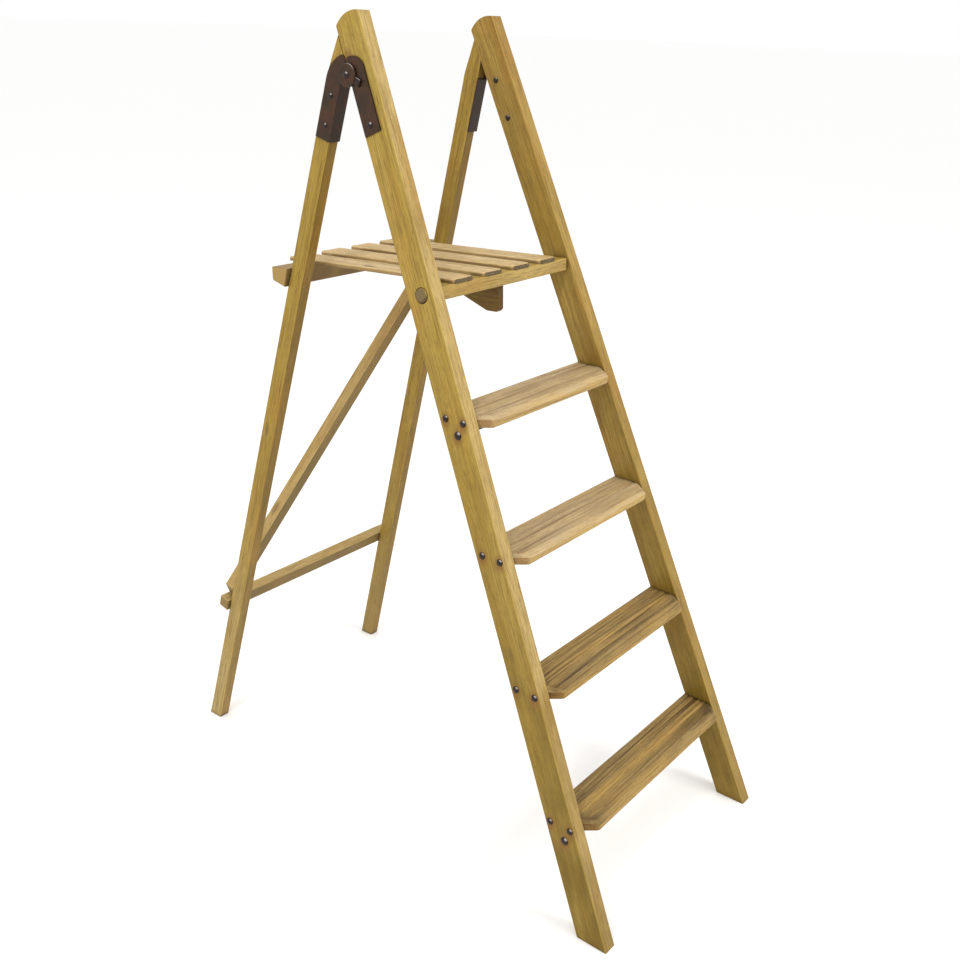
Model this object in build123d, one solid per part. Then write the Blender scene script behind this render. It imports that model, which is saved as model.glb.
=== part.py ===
from build123d import *
import os
from math import cos, degrees, hypot, radians, sin, tan

# Library ladder: a front frame with four treads, a slimmer rear frame hinged to its top, and a
# slatted platform that turns on the front frame and props the rear legs apart.
# +X is to the climber's right, +Y points from the climbing side to the rear frame, +Z is up.
# The origin is on the floor, in the middle of the four feet's outline. Lengths are in mm.

os.makedirs("parts", exist_ok=True)

# Stance
BASE_DEPTH = 1099.2
STILE_LEAN = radians(24.13)
LEG_LEAN = radians(-13.93)
STILE_SPLAY = radians(3.38)
LEG_SPLAY = radians(2.62)

# Front frame timber
STILE_DEPTH = 57.0
STILE_THICKNESS = 29.0
STILE_INNER_AT_FLOOR = 253.6
STILE_LENGTH = 1660.5
STILE_CROWN = 6.5
STILE_EDGE = 2.2

# Treads
TREAD_COUNT = 4
TREAD_FIRST_TOP = 212.4
TREAD_RISE = 223.2
TREAD_THICKNESS = 22.0
TREAD_NOSE = 25.0
TREAD_END_CUT = 22.0
TREAD_HOUSING = 6.0
TREAD_HOUSING_SET_BACK = 9.0
TREAD_SCREW_DROP = 8.0
TREAD_SCREW_PLACES = ((9.0, 47.5), (9.5, 46.0), (7.5, 42.5), (8.0, 43.0))
TIE_ROD_TREADS = (1, 4)
TIE_ROD_DROP = 32.0
TIE_ROD_ACROSS = 26.0
TIE_ROD_RADIUS = 3.5

# Rear frame timber
LEG_DEPTH = 34.0
LEG_THICKNESS = 23.3
LEG_INNER_AT_FLOOR = 238.9
LEG_EDGE = 1.8
LEG_TIP_HEIGHT = 1474.0
LEG_TAPER_HEIGHT = 1404.0
LEG_HEAD_GAP = 1.0
BATTEN = 25.0
CROSSBAR_ALONG = 292.0
CROSSBAR_HALF = 257.5
BRACE_DEPTH = 24.0
BRACE_WIDTH = 28.0
BRACE_PITCH = radians(57.6)
BRACE_START = (-144.5, 456.1)
BRACE_RAIL_GAP = 4.0

# Hinges
PIVOT_Y_FROM_TOE = 693.5
PIVOT_Z = 1413.3
STRAP_ALONG = 1577.8
STRAP_BOLT_ACROSS = 36.0
LEG_LEAF_ALONG = 1459.4
LEAF_THICKNESS = 3.0
EYE_RADIUS = 12.0
EYE_CLEARANCE = 1.0
DISC_RADIUS = 19.8
DISC_THICKNESS = 3.4
DISC_ROUNDING = 2.4
HINGE_GAP = 0.35
PIN_RADIUS = 4.0
PIN_CLEARANCE = 0.05

# Platform
DECK_PITCH = radians(3.0)
DECK_PIVOT_Y_FROM_TOE = 508.0
DECK_PIVOT_Z = 1073.5
PIVOT_RAIL_DEPTH = 36.0
PIVOT_RAIL_HEIGHT = 24.0
RAIL_END_GAP = 0.5
TENON_RADIUS = 12.5
TENON_CLEARANCE = 0.08
TENON_PROUD = 3.0
TENON_LENGTH = 50.0
SLAT_COUNT = 4
SLAT_WIDTH = 55.0
SLAT_PITCH = 84.0
SLAT_THICKNESS = 8.0
SLAT_REACH = 397.5
REAR_RAIL_FOOT = 33.0
REAR_RAIL_TOP = 40.0
REAR_RAIL_HALF = 225.0
REAR_RAIL_ALONG = 1056.0
BEARER_THICKNESS = 14.0
BODY_GAP = 0.3

# Fastenings
SCREW_HEAD = 6.5
ROD_HEAD = 7.5
LEAF_BOLT_HEAD = 5.5
LEAF_SCREW_HEAD = 4.6
HEAD_HEIGHT = 0.5

REACH = 400.0
FAR = 4000.0

# Places worked out from the sizes above
TOE_Y = -BASE_DEPTH / 2
LEG_FOOT_Y = BASE_DEPTH / 2 - LEG_DEPTH / cos(LEG_LEAN)
PIVOT = (TOE_Y + PIVOT_Y_FROM_TOE, PIVOT_Z)
DECK_PIVOT = (TOE_Y + DECK_PIVOT_Y_FROM_TOE, DECK_PIVOT_Z)
SIDES = {"left": -1, "right": 1}


def leaning(foot, lean, across, along):
    """(y, z) of a point across a leaning member from its front face and along it from its foot."""
    y = foot[0] + along * sin(lean) + across * cos(lean)
    z = foot[1] + along * cos(lean) - across * sin(lean)
    return (y, z)


def stile_yz(across, along):
    return leaning((TOE_Y, 0), STILE_LEAN, across, along)


def leg_yz(across, along):
    return leaning((LEG_FOOT_Y, 0), LEG_LEAN, across, along)


def deck_yz(back, up):
    return leaning(DECK_PIVOT, DECK_PITCH, back, up)


def along_at(lean, across, height):
    """How far along a member the given height is, at the given distance across it."""
    return (height + across * sin(lean)) / cos(lean)


def into_frame(foot, lean, point):
    """(across, along) of a (y, z) point, the reverse of leaning()."""
    dy = point[0] - foot[0]
    dz = point[1] - foot[1]
    return (dy * cos(lean) - dz * sin(lean), dy * sin(lean) + dz * cos(lean))


def side_face(points):
    """A face in the side view, from its (y, z) corners."""
    return Plane.YZ * make_face(Polyline(*points, close=True))


def side_solid(face, half=REACH):
    """The side-view face carried across the whole width."""
    return extrude(face, amount=half, both=True)


def slab(inner_at_floor, splay, side, start, thickness):
    """A board-shaped space that leans inward: it begins `start` outside a member's inner plane."""
    edge = Align.MIN if side > 0 else Align.MAX
    box = Box(thickness, FAR, FAR, align=(edge, Align.CENTER, Align.CENTER))
    return Pos(side * inner_at_floor, 0, 0) * Rot(0, -side * degrees(splay), 0) * Pos(side * start, 0, 0) * box


def outer_x(inner_at_floor, splay, thickness, height):
    """Distance from the middle to a splayed member's outer face at a height."""
    return inner_at_floor + thickness / cos(splay) - height * tan(splay)


def only(shape):
    """The biggest solid of a shape, on its own."""
    return max(shape.solids(), key=lambda s: s.volume)


def long_edges(shape, least):
    return shape.edges().filter_by(lambda e: e.length > least)


def dome(radius, rim, rise):
    """A domed head that stands on the XY plane: a cylinder under a shallow round cap."""
    ball_radius = (radius**2 + rise**2) / (2 * rise)
    ball = Pos(0, 0, rim + rise - ball_radius) * Sphere(ball_radius)
    return Cylinder(radius, rim + rise, align=(Align.CENTER, Align.CENTER, Align.MIN)) & ball


def fastener(head_radius, shank_radius, length, rise=3.2):
    """A domed screw or bolt: its head on the XY plane, its shank down -Z."""
    shank = Cylinder(shank_radius, length, align=(Align.CENTER, Align.CENTER, Align.MAX))
    return only(dome(head_radius, HEAD_HEIGHT, rise) + shank)


def on_outer_face(inner_at_floor, splay, thickness, side, point, lift=0.0):
    """Location on a splayed member's outer face, +Z pointing out of the face."""
    y, z = point
    x = outer_x(inner_at_floor, splay, thickness, z) + lift / cos(splay)
    return Pos(side * x, y, z) * Rot(0, side * (90 - degrees(splay)), 0)


def on_stile(side, point, lift=0.0):
    return on_outer_face(STILE_INNER_AT_FLOOR, STILE_SPLAY, STILE_THICKNESS, side, point, lift)


def on_leg(side, point, lift=0.0):
    return on_outer_face(LEG_INNER_AT_FLOOR, LEG_SPLAY, LEG_THICKNESS, side, point, lift)


def stile(side):
    """One side of the front frame: a flat foot, eased edges and a crowned top."""
    foot_front = stile_yz(0, 0)
    foot_back = stile_yz(STILE_DEPTH, along_at(STILE_LEAN, STILE_DEPTH, 0))
    top_back = stile_yz(STILE_DEPTH, STILE_LENGTH - 5)
    top_mid = stile_yz(STILE_DEPTH / 2, STILE_LENGTH + STILE_CROWN)
    top_front = stile_yz(0, STILE_LENGTH)
    outline = Polyline(top_front, foot_front, foot_back, top_back)
    outline += ThreePointArc(top_back, top_mid, top_front)
    board = side_solid(Plane.YZ * make_face(outline))
    board = only(board & slab(STILE_INNER_AT_FLOOR, STILE_SPLAY, side, 0, STILE_THICKNESS))
    return only(fillet(long_edges(board, 1000), STILE_EDGE))


def tread_top(number):
    return TREAD_FIRST_TOP + (number - 1) * TREAD_RISE


def between_planes(inner_at_floor, splay):
    """The tapering space between the inner planes of two splayed members."""
    top = 1800.0
    half_top = inner_at_floor - top * tan(splay)
    corners = [(-inner_at_floor, 0), (inner_at_floor, 0), (half_top, top), (-half_top, top)]
    return extrude(Plane.XZ * make_face(Polyline(*corners, close=True)), amount=FAR, both=True)


def tread(number):
    """A tread housed in both stiles, its worn nose proud of them with its ends cut back."""
    top = tread_top(number)
    bottom = top - TREAD_THICKNESS
    front_y, _ = stile_yz(0, along_at(STILE_LEAN, 0, top))
    nose_y = front_y - TREAD_NOSE
    back = STILE_DEPTH - 0.4
    back_top = stile_yz(back, along_at(STILE_LEAN, back, top))
    back_bottom = stile_yz(back, along_at(STILE_LEAN, back, bottom))
    plank = side_solid(side_face([(nose_y, top), back_top, back_bottom, (nose_y, bottom)]))
    plank = fillet(plank.edges().filter_by(Axis.X).group_by(Axis.Y)[0], 5.0)
    plank = plank & between_planes(STILE_INNER_AT_FLOOR, STILE_SPLAY)

    inner = STILE_INNER_AT_FLOOR - top * tan(STILE_SPLAY)
    for side in SIDES.values():
        corner = [
            (side * (inner + 20), front_y - TREAD_NOSE - 20),
            (side * (inner + 20), front_y),
            (side * inner, front_y),
            (side * (inner - TREAD_END_CUT), front_y - TREAD_NOSE),
            (side * (inner - TREAD_END_CUT), front_y - TREAD_NOSE - 20),
        ]
        face = Pos(0, 0, top) * make_face(Polyline(*corner, close=True))
        plank -= extrude(face, amount=60, dir=(0, sin(STILE_LEAN), cos(STILE_LEAN)), both=True)

    first = TREAD_HOUSING_SET_BACK
    last = STILE_DEPTH - TREAD_HOUSING_SET_BACK
    tongue_face = side_face(
        [
            stile_yz(first, along_at(STILE_LEAN, first, top)),
            stile_yz(last, along_at(STILE_LEAN, last, top)),
            stile_yz(last, along_at(STILE_LEAN, last, bottom)),
            stile_yz(first, along_at(STILE_LEAN, first, bottom)),
        ]
    )
    tongue = side_solid(tongue_face) & between_planes(STILE_INNER_AT_FLOOR + TREAD_HOUSING, STILE_SPLAY)
    return only(plank + tongue)


def tread_screws(number):
    """Four domed screws, two through each stile into the tread's ends."""
    height = tread_top(number) - TREAD_SCREW_DROP
    screws = []
    for side in SIDES.values():
        for across in TREAD_SCREW_PLACES[number - 1]:
            point = stile_yz(across, along_at(STILE_LEAN, across, height))
            screws.append(on_stile(side, point) * fastener(SCREW_HEAD, 2.5, 58))
    return screws


def tie_rod(number):
    """A steel rod under a tread, its riveted ends domed over both stiles."""
    height = tread_top(number) - TIE_ROD_DROP
    point = stile_yz(TIE_ROD_ACROSS, along_at(STILE_LEAN, TIE_ROD_ACROSS, height))
    half = outer_x(STILE_INNER_AT_FLOOR, STILE_SPLAY, STILE_THICKNESS, height)
    rod = Pos(0, *point) * Rot(0, 90, 0) * Cylinder(TIE_ROD_RADIUS, 2 * half)
    for side in SIDES.values():
        rod += on_stile(side, point) * dome(ROD_HEAD, 0.8, 3.6)
    return only(rod)


def stile_frame(point):
    return into_frame((TOE_Y, 0), STILE_LEAN, point)


def leg_frame(point):
    return into_frame((LEG_FOOT_Y, 0), LEG_LEAN, point)


def stile_leaf_face():
    """Side outline of the hinge leaf on the stile: a round-topped strap, its back corner cut off."""
    low = STRAP_ALONG - 111
    shoulder = stile_yz(17, STRAP_ALONG - 2)
    crown = stile_yz(48.5, STRAP_ALONG + 22.5)
    outline = Polyline(
        shoulder, stile_yz(17, low), stile_yz(53.4, low), stile_yz(53.4, STRAP_ALONG + 9), crown
    )
    outline += ThreePointArc(crown, stile_yz(27, STRAP_ALONG + 15.5), shoulder)
    return Plane.YZ * make_face(outline)


def pivot_disc(radius, near, far, side):
    """A disc about the pivot axis, from `near` to `far` out from the middle."""
    disc = Cylinder(radius, far - near, align=(Align.CENTER, Align.CENTER, Align.MIN))
    return Pos(side * near, *PIVOT) * Rot(0, side * 90, 0) * disc


def disc_inner_x():
    """Inner face of the leg leaf's disc, clear of the stile leaf all round."""
    widest = outer_x(STILE_INNER_AT_FLOOR, STILE_SPLAY, STILE_THICKNESS, PIVOT_Z - DISC_RADIUS)
    return widest + LEAF_THICKNESS / cos(STILE_SPLAY) + HINGE_GAP


def stile_leaf(side):
    """The strap on the stile's outer face, with the eye that the hinge pin turns in."""
    outside = slab(STILE_INNER_AT_FLOOR, STILE_SPLAY, side, STILE_THICKNESS, LEAF_THICKNESS)
    strap = side_solid(stile_leaf_face()) & outside
    eye = pivot_disc(EYE_RADIUS, disc_inner_x() - 20, disc_inner_x() - HINGE_GAP, side)
    clear_of_wood = slab(STILE_INNER_AT_FLOOR, STILE_SPLAY, side, STILE_THICKNESS, 60)
    bore = pivot_disc(PIN_RADIUS + PIN_CLEARANCE, disc_inner_x() - 30, disc_inner_x() + 30, side)
    return only(strap + (eye & clear_of_wood) - bore)


def stile_leaf_bolts(side):
    """Two bolts through the strap and the stile: a square head above, a domed head below."""
    length = LEAF_THICKNESS + STILE_THICKNESS
    upper = Box(12, 12, 5, align=(Align.CENTER, Align.CENTER, Align.MIN))
    upper = fillet(upper.faces().sort_by(Axis.Z)[-1].edges(), 1.4)
    upper += Cylinder(3.0, length, align=(Align.CENTER, Align.CENTER, Align.MAX))
    lower = fastener(LEAF_BOLT_HEAD, 3.0, length)
    tail = Pos(0, 0, -length) * Rot(180, 0, 0) * dome(5.5, 0.8, 2.4)
    bolts = []
    for drop, turn, bolt in ((23.4, 22, upper), (96.2, 0, lower)):
        place = on_stile(side, stile_yz(STRAP_BOLT_ACROSS, STRAP_ALONG - drop), LEAF_THICKNESS)
        bolts.append(only(place * Rot(0, 0, side * turn) * (bolt + tail)))
    return bolts


def leg_leaf_face():
    """Side outline of the hinge leaf on the rear leg, clear of the stile's strap and eye."""
    along = LEG_LEAF_ALONG
    low = along - 118
    back = 31.0
    shoulder = along - 19
    crown = leg_yz(7.2, along + 27)
    outline = Polyline(
        leg_yz(-14, along + 27), leg_yz(-14, along - 14), leg_yz(-3.5, along - 14), leg_yz(-3.5, low),
        leg_yz(back, low), leg_yz(back, shoulder),
    )
    outline += ThreePointArc(leg_yz(back, shoulder), leg_yz(23.5, along + 9.5), crown)
    outline += Line(crown, leg_yz(-14, along + 27))
    strap_side = side_face(
        [stile_yz(a, STRAP_ALONG + s) for a, s in ((54.4, -200), (54.4, 200), (-200, 200), (-200, -200))]
    )
    around_eye = Plane.YZ * Pos(*PIVOT) * Circle(EYE_RADIUS + EYE_CLEARANCE)
    return Plane.YZ * make_face(outline) - strap_side - around_eye


def leg_leaf(side):
    """An angle-section leaf round the leg's outer corner, ending in the disc that covers the eye."""
    face = leg_leaf_face()
    plate_space = slab(LEG_INNER_AT_FLOOR, LEG_SPLAY, side, LEG_THICKNESS, LEAF_THICKNESS)
    plate = side_solid(face) & plate_space
    flange_corners = ((-3.5, -118), (0, -118), (0, -15), (-3.5, -15))
    flange_face = side_face([leg_yz(b, LEG_LEAF_ALONG + t) for b, t in flange_corners])
    flange_space = slab(LEG_INNER_AT_FLOOR, LEG_SPLAY, side, 0, LEG_THICKNESS + LEAF_THICKNESS)
    flange = side_solid(flange_face) & flange_space
    inner = disc_inner_x()
    disc = pivot_disc(DISC_RADIUS, inner, inner + DISC_THICKNESS, side)
    disc = fillet(disc.edges().filter_by(GeomType.CIRCLE).sort_by(Axis.X)[-1 if side > 0 else 0], DISC_ROUNDING)
    outside = slab(LEG_INNER_AT_FLOOR, LEG_SPLAY, side, LEG_THICKNESS, 60)
    neck = side_solid(face) & pivot_disc(DISC_RADIUS - 1, inner - 30, inner + 1, side) & outside
    bore = pivot_disc(PIN_RADIUS, inner - 30, inner + 30, side)
    stop = STILE_DEPTH + LEG_HEAD_GAP
    stile_side = side_face([stile_yz(a, along) for a, along in ((stop, 0), (stop, 1800), (-200, 1800), (-200, 0))])
    stile_room = slab(STILE_INNER_AT_FLOOR, STILE_SPLAY, side, 0, STILE_THICKNESS + HINGE_GAP)
    return only(plate + flange + neck + disc - bore - (side_solid(stile_side) & stile_room))


def leg_leaf_screws(side):
    """Two domed screws through the leaf into the leg."""
    screws = []
    for drop in (43, 94):
        place = on_leg(side, leg_yz(12.8, LEG_LEAF_ALONG - drop), LEAF_THICKNESS)
        screws.append(place * fastener(LEAF_SCREW_HEAD, 2.2, 20, 2.6))
    return screws


def hinge_pin(side):
    """The rivet on the pivot axis, headed over the disc and ending flush in the eye."""
    inner = disc_inner_x()
    outer = inner + DISC_THICKNESS
    eye_back = outer_x(STILE_INNER_AT_FLOOR, STILE_SPLAY, STILE_THICKNESS, PIVOT_Z - PIN_RADIUS) + BODY_GAP
    pin = pivot_disc(PIN_RADIUS, eye_back, outer + 0.5, side)
    head = Pos(side * outer, *PIVOT) * Rot(0, side * 90, 0) * dome(6.0, 0.6, 3.0)
    return only(pin + head)


def rear_leg(side):
    """A rear leg: a flat foot and a head bevelled to stop against the stile's back."""
    stop = STILE_DEPTH + LEG_HEAD_GAP
    floor_front = leg_yz(0, 0)
    floor_back = leg_yz(LEG_DEPTH, along_at(LEG_LEAN, LEG_DEPTH, 0))
    taper = leg_yz(LEG_DEPTH, along_at(LEG_LEAN, LEG_DEPTH, LEG_TAPER_HEIGHT))
    tip = stile_yz(stop, along_at(STILE_LEAN, stop, LEG_TIP_HEIGHT))
    foot_across, foot_along = stile_frame(floor_front)
    head_along = foot_along + (foot_across - stop) / tan(STILE_LEAN - LEG_LEAN)
    bevel = stile_yz(stop, head_along)
    leg = side_solid(side_face([floor_front, bevel, tip, taper, floor_back]))
    leg = only(leg & slab(LEG_INNER_AT_FLOOR, LEG_SPLAY, side, 0, LEG_THICKNESS))
    return only(fillet(long_edges(leg, 1000), LEG_EDGE))


def behind_legs(depth=0.0):
    """A plane behind the rear legs: local x across the ladder, y up the legs, z into them."""
    y, z = leg_yz(LEG_DEPTH + depth, 0)
    return Plane(origin=(0, y, z), x_dir=(1, 0, 0), z_dir=(0, -cos(LEG_LEAN), sin(LEG_LEAN)))


def rear_crossbar():
    """The low batten across the backs of the rear legs, its ends rounded off."""
    outline = [(LEG_DEPTH, 0), (LEG_DEPTH + BATTEN, 0), (LEG_DEPTH + BATTEN, BATTEN), (LEG_DEPTH, BATTEN)]
    face = side_face([leg_yz(b, CROSSBAR_ALONG + t) for b, t in outline])
    bar = side_solid(face, CROSSBAR_HALF)
    ends = bar.faces().sort_by(Axis.X)[0].edges() + bar.faces().sort_by(Axis.X)[-1].edges()
    return only(fillet(ends, 4.5))


def brace_outline():
    """Corners of the diagonal brace on the plane of the legs' back faces."""
    x0, t0 = BRACE_START
    ux, ut = cos(BRACE_PITCH), sin(BRACE_PITCH)

    def on_axis(distance, up):
        return (x0 + distance * ux - up * ut, t0 + distance * ut + up * ux)

    bar_top = CROSSBAR_ALONG + BATTEN
    rail_low = REAR_RAIL_ALONG - BRACE_RAIL_GAP
    leg_outside = outer_x(LEG_INNER_AT_FLOOR, LEG_SPLAY, LEG_THICKNESS, rail_low) - 1.0
    return [
        on_axis((bar_top + 1 - t0) / ut, 0),
        on_axis((leg_outside - x0) / ux, 0),
        (leg_outside, rail_low),
        on_axis((rail_low - t0 - BRACE_WIDTH * ux) / ut, BRACE_WIDTH),
        on_axis(-147, BRACE_WIDTH),
    ]


def diagonal_brace():
    """The long brace across the backs of the legs, from low on the left to high on the right."""
    outline = make_face(Polyline(*brace_outline(), close=True))
    brace = extrude(behind_legs(BRACE_DEPTH) * outline, amount=BRACE_DEPTH)
    return only(fillet(long_edges(brace, 500), LEG_EDGE))


def leg_back_screws(places, depth):
    """Screws from behind through a batten of the given depth into the legs, at (x, along) places."""
    plane = behind_legs(depth)
    return [plane * Pos(x, t, 0) * Rot(180, 0, 0) * fastener(4.2, 2.0, depth + 20, 1.4) for x, t in places]


def leg_middle_x(side, along):
    height = along * cos(LEG_LEAN)
    return side * (LEG_INNER_AT_FLOOR + LEG_THICKNESS / 2 - height * tan(LEG_SPLAY))


def crossbar_screws():
    along = CROSSBAR_ALONG + BATTEN / 2
    return leg_back_screws([(leg_middle_x(side, along), along) for side in SIDES.values()], BATTEN)


def brace_screws():
    """One screw at each end of the brace, where its middle line crosses a leg."""
    x0, t0 = BRACE_START
    places = []
    for side, along in ((-1, 345.0), (1, 1020.0)):
        middle = t0 + (leg_middle_x(side, along) - x0) * tan(BRACE_PITCH) + BRACE_WIDTH / 2 / cos(BRACE_PITCH)
        places.append((leg_middle_x(side, middle), middle))
    return leg_back_screws(places, BRACE_DEPTH)


def deck_line_at(up, across):
    """(y, z) where a line parallel to the slats reaches a distance across the rear legs."""
    start = leg_frame(deck_yz(0, up))
    step = leg_frame(deck_yz(1, up))
    return deck_yz((across - start[0]) / (step[0] - start[0]), up)


def pivot_rail():
    """The platform's front rail, with a round tenon at each end that turns in the stiles."""
    half_h = PIVOT_RAIL_HEIGHT / 2
    half_d = PIVOT_RAIL_DEPTH / 2
    corners = [(-half_d, -half_h), (half_d, -half_h), (half_d, half_h), (-half_d, half_h)]
    sweep_top = DECK_PIVOT_Z + hypot(half_d, half_h)
    half = STILE_INNER_AT_FLOOR - sweep_top * tan(STILE_SPLAY) - RAIL_END_GAP
    rail = side_solid(side_face([deck_yz(v, w) for v, w in corners]), half)
    rail = fillet(rail.edges().filter_by(Axis.X), 1.5)
    end = outer_x(STILE_INNER_AT_FLOOR, STILE_SPLAY, STILE_THICKNESS, DECK_PIVOT_Z) + TENON_PROUD
    tenon = Cylinder(TENON_RADIUS, TENON_LENGTH, align=(Align.CENTER, Align.CENTER, Align.MAX))
    tenon = fillet(tenon.edges().filter_by(GeomType.CIRCLE).sort_by(Axis.Z)[-1], 2.2)
    for side in SIDES.values():
        rail += Pos(side * end, *DECK_PIVOT) * Rot(0, side * 90, 0) * tenon
    return only(rail)


def tenon_holes():
    """The holes through both stiles for the platform's tenons, their outer rims worn wide."""
    hole = Pos(0, *DECK_PIVOT) * Rot(0, 90, 0) * Cylinder(TENON_RADIUS + TENON_CLEARANCE, 2 * REACH)
    half = outer_x(STILE_INNER_AT_FLOOR, STILE_SPLAY, STILE_THICKNESS, DECK_PIVOT_Z)
    for side in SIDES.values():
        rim = Cone(TENON_RADIUS, TENON_RADIUS + 3.4, 6.8, align=(Align.CENTER, Align.CENTER, Align.CENTER))
        hole += Pos(side * half, *DECK_PIVOT) * Rot(0, side * 90, 0) * rim
    return hole


def rear_rail():
    """The platform's rear rail, which lies behind the legs and props them apart."""
    near = LEG_DEPTH + BODY_GAP
    top = PIVOT_RAIL_HEIGHT / 2
    corners = [
        leg_yz(near, REAR_RAIL_ALONG),
        leg_yz(near + REAR_RAIL_FOOT, REAR_RAIL_ALONG),
        deck_line_at(top, near + REAR_RAIL_TOP),
        deck_line_at(top, near),
    ]
    rail = side_solid(side_face(corners), REAR_RAIL_HALF)
    rail = fillet(rail.edges().filter_by(Axis.X).sort_by(Axis.Z)[1], 6.0)
    ends = rail.faces().sort_by(Axis.X)[0].edges() + rail.faces().sort_by(Axis.X)[-1].edges()
    return only(fillet(ends, 3.5))


def slat_x(number):
    return (number - (SLAT_COUNT + 1) / 2) * SLAT_PITCH


def slat(number):
    """A platform slat from the pivot rail's front to just past the rear rail, top edges worn round."""
    low = PIVOT_RAIL_HEIGHT / 2
    front = -PIVOT_RAIL_DEPTH / 2
    corners = [(front, low), (SLAT_REACH, low), (SLAT_REACH, low + SLAT_THICKNESS), (front, low + SLAT_THICKNESS)]
    board = side_solid(side_face([deck_yz(v, w) for v, w in corners]), SLAT_WIDTH / 2)
    top = board.faces().sort_by(Axis.Z)[-1]
    return only(Pos(slat_x(number), 0, 0) * fillet(top.edges(), 2.6))


def bearer():
    """The middle bearer: halved under the pivot rail, deep in front and slim behind."""
    rail_low = -PIVOT_RAIL_HEIGHT / 2
    rail_back = PIVOT_RAIL_DEPTH / 2
    top = PIVOT_RAIL_HEIGHT / 2
    outline = [
        deck_yz(-1, rail_low), deck_yz(-1, -59), deck_yz(4, -64), deck_yz(27, -64), deck_yz(143, -18),
        deck_line_at(-18, LEG_DEPTH + BODY_GAP), deck_line_at(top, LEG_DEPTH + BODY_GAP),
        deck_yz(rail_back, top), deck_yz(rail_back, rail_low),
    ]
    return only(side_solid(side_face(outline), BEARER_THICKNESS / 2))


def platform_screw(back, start, depth, x):
    """A countersunk screw driven upward, square to the slats, from below."""
    y, z = deck_yz(back, start)
    cone = Cone(4.0, 1.8, 2.6, align=(Align.CENTER, Align.CENTER, Align.MIN))
    shank = Cylinder(1.8, depth, align=(Align.CENTER, Align.CENTER, Align.MIN))
    return only(Pos(x, y, z) * Rot(-degrees(DECK_PITCH), 0, 0) * (cone + shank))


def slat_screws(back, start, depth):
    return [platform_screw(back, start, depth, slat_x(n)) for n in range(1, SLAT_COUNT + 1)]


def cut(nodes, names, tools):
    """Take the fasteners' or tenons' space out of the named pieces."""
    for name in names:
        for tool in tools:
            nodes[name] = only(nodes[name] - tool)


def front_frame():
    nodes = {f"{name}_stile": stile(side) for name, side in SIDES.items()}
    stiles = list(nodes)
    for number in range(1, TREAD_COUNT + 1):
        nodes[f"tread_{number}"] = tread(number)
        cut(nodes, stiles, [nodes[f"tread_{number}"]])
        screws = tread_screws(number)
        cut(nodes, stiles + [f"tread_{number}"], screws)
        nodes[f"tread_{number}_screws"] = Compound(screws)
    for name, number in zip(("lower", "upper"), TIE_ROD_TREADS):
        nodes[f"tie_rod_{name}"] = tie_rod(number)
        cut(nodes, stiles, [nodes[f"tie_rod_{name}"]])
    cut(nodes, stiles, [tenon_holes()])
    for name, side in SIDES.items():
        bolts = stile_leaf_bolts(side)
        nodes[f"hinge_{name}_stile_leaf"] = stile_leaf(side)
        cut(nodes, [f"{name}_stile", f"hinge_{name}_stile_leaf"], bolts)
        nodes[f"hinge_{name}_stile_bolts"] = Compound(bolts)
    return nodes


def rear_frame():
    nodes = {f"rear_leg_{name}": rear_leg(side) for name, side in SIDES.items()}
    legs = list(nodes)
    nodes["rear_crossbar"] = rear_crossbar()
    nodes["diagonal_brace"] = diagonal_brace()
    for name, screws in (("rear_crossbar", crossbar_screws()), ("diagonal_brace", brace_screws())):
        cut(nodes, legs + [name], screws)
        nodes[f"{name}_screws"] = Compound(screws)
    for name, side in SIDES.items():
        screws = leg_leaf_screws(side)
        nodes[f"hinge_{name}_leg_leaf"] = leg_leaf(side)
        cut(nodes, [f"rear_leg_{name}", f"hinge_{name}_leg_leaf"], screws)
        nodes[f"hinge_{name}_leg_screws"] = Compound(screws)
        nodes[f"hinge_{name}_pin"] = hinge_pin(side)
    return nodes


def platform():
    nodes = {"platform_pivot_rail": pivot_rail(), "platform_rear_rail": rear_rail(), "platform_bearer": bearer()}
    slats = []
    for number in range(1, SLAT_COUNT + 1):
        nodes[f"slat_{number}"] = slat(number)
        slats.append(f"slat_{number}")
    front_screws = slat_screws(2.0, -PIVOT_RAIL_HEIGHT / 2, PIVOT_RAIL_HEIGHT + 6)
    rear_screws = slat_screws(348.0, -17.0, 34.0)
    cut(nodes, slats + ["platform_pivot_rail"], front_screws)
    cut(nodes, slats + ["platform_rear_rail"], rear_screws)
    nodes["slat_screws_front"] = Compound(front_screws)
    nodes["slat_screws_rear"] = Compound(rear_screws)
    return nodes


for assembly in (front_frame(), rear_frame(), platform()):
    for node, shape in assembly.items():
        export_step(shape, f"parts/{node}.step")
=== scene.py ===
from math import cos, pi, radians, sin, sqrt, tan

import bpy
from mathutils import Matrix, Vector, noise as field


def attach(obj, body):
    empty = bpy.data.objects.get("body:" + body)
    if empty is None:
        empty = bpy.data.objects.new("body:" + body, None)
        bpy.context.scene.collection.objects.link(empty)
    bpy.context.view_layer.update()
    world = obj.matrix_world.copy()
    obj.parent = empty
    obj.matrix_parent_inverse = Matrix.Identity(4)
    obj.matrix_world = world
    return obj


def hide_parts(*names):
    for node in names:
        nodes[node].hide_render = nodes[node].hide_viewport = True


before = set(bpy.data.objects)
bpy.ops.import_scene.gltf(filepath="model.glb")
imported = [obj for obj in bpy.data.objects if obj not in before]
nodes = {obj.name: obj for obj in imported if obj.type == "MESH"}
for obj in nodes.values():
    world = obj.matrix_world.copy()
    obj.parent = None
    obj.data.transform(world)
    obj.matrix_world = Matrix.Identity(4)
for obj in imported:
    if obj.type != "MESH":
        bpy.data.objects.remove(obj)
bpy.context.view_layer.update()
scene = bpy.context.scene

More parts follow.
